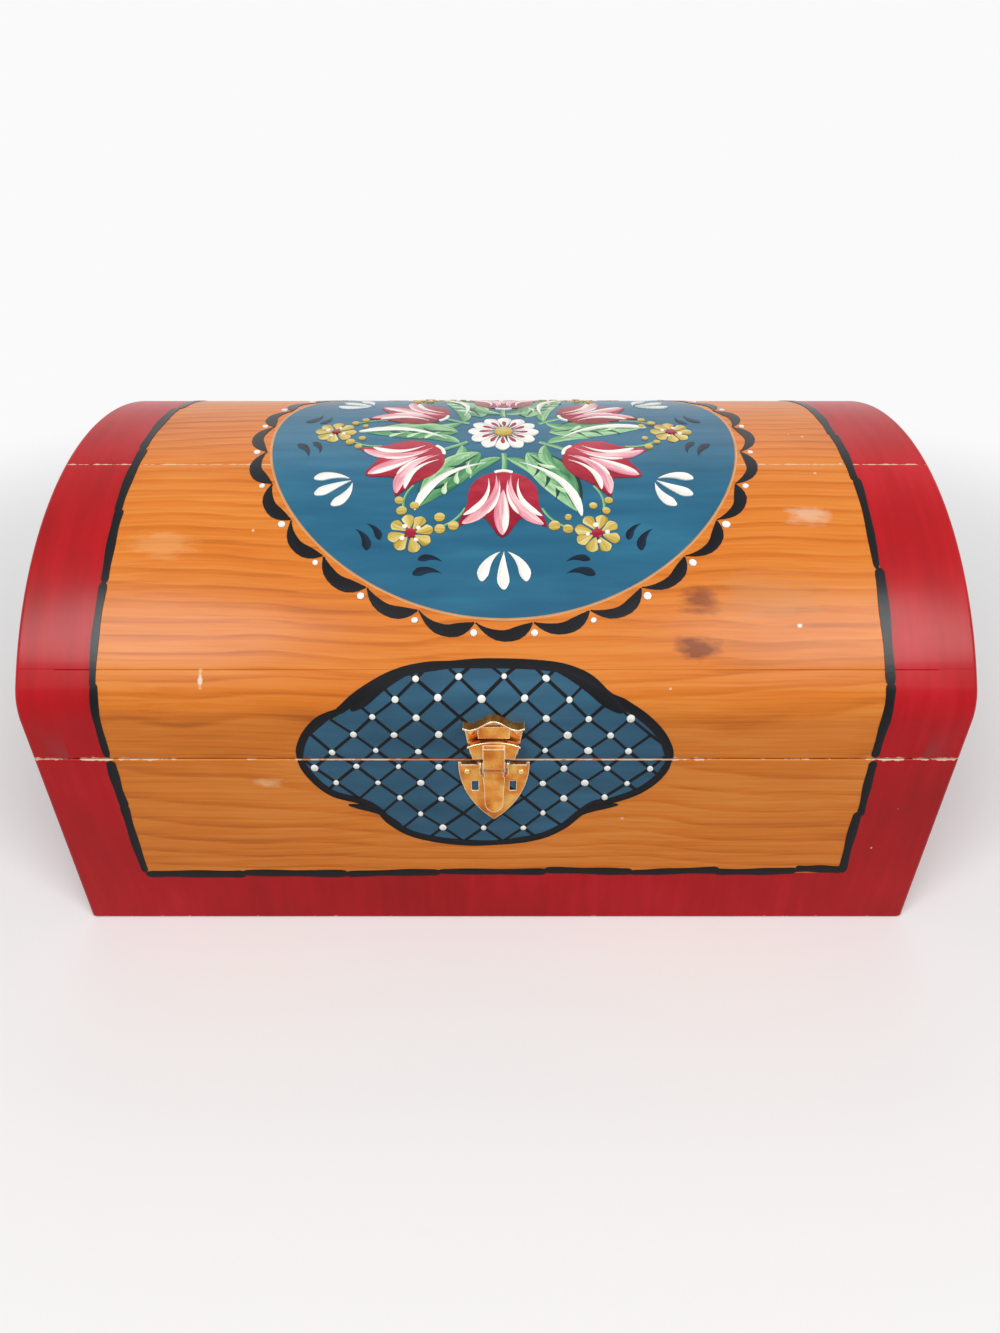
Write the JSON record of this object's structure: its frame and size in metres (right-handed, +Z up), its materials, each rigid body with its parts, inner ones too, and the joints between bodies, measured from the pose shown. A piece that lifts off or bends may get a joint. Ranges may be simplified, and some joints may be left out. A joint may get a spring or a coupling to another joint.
{
  "type": "jewelry box",
  "caption": "Dome-lidded wooden keepsake box with painted ends, two butt hinges at the back and a brass draw latch at the front.",
  "frame": {"origin": "centre of the box's underside", "axes": "+X along the front to the right, -Y out of the front, +Z up"},
  "size_m": [0.305, 0.2377, 0.1589],
  "materials": {
    "painted_wood": "stained wood with red and blue hand paint under a gloss varnish",
    "bare_wood": "bare sanded softwood",
    "brass": "bright plated sheet",
    "brass_screws": "turned and polished"
  },
  "bodies": {
    "base": {"base_front_board": "painted_wood", "base_back_board": "painted_wood", "base_left_end": "painted_wood", "base_right_end": "painted_wood", "base_bottom_board": "bare_wood", "latch_shield_plate": "brass", "latch_pivot_pin": "brass", "latch_shield_nails": "brass_screws", "hinge_left_base_leaf": "brass", "hinge_right_base_leaf": "brass", "hinge_left_pin": "brass", "hinge_right_pin": "brass", "hinge_base_screws": "brass_screws"},
    "lid": {"lid_front_rail": "painted_wood", "lid_back_rail": "painted_wood", "lid_left_end": "painted_wood", "lid_right_end": "painted_wood", "lid_front_slope_board": "painted_wood", "lid_top_board": "painted_wood", "lid_rear_slope_board": "painted_wood", "latch_strike_plate": "brass", "latch_strike_nails": "brass_screws", "hinge_left_lid_leaf": "brass", "hinge_right_lid_leaf": "brass", "hinge_lid_screws": "brass_screws"},
    "latch_lever": {"latch_lever": "brass", "latch_link_pin": "brass"},
    "latch_link": {"latch_link": "brass"}
  },
  "joints": [
    {"name": "lid_hinge", "type": "hinge", "parent": "base", "child": "lid", "pos_m": [0, 0.11655, 0.0752], "axis": [-1, 0, 0], "range_deg": [0, 175]},
    {"name": "latch_lever_pivot", "type": "hinge", "parent": "base", "child": "latch_lever", "pos_m": [-0.0008, -0.1167, 0.0752], "axis": [-1, 0, 0], "range_deg": [0, 105]},
    {"name": "latch_link_pivot", "type": "hinge", "parent": "latch_lever", "child": "latch_link", "pos_m": [-0.0008, -0.1161, 0.07245], "axis": [1, 0, 0], "range_deg": [0, 126]}
  ],
  "couplings": [
    {"joint": "latch_link_pivot", "follows": "latch_lever_pivot", "ratio": 1.2}
  ]
}
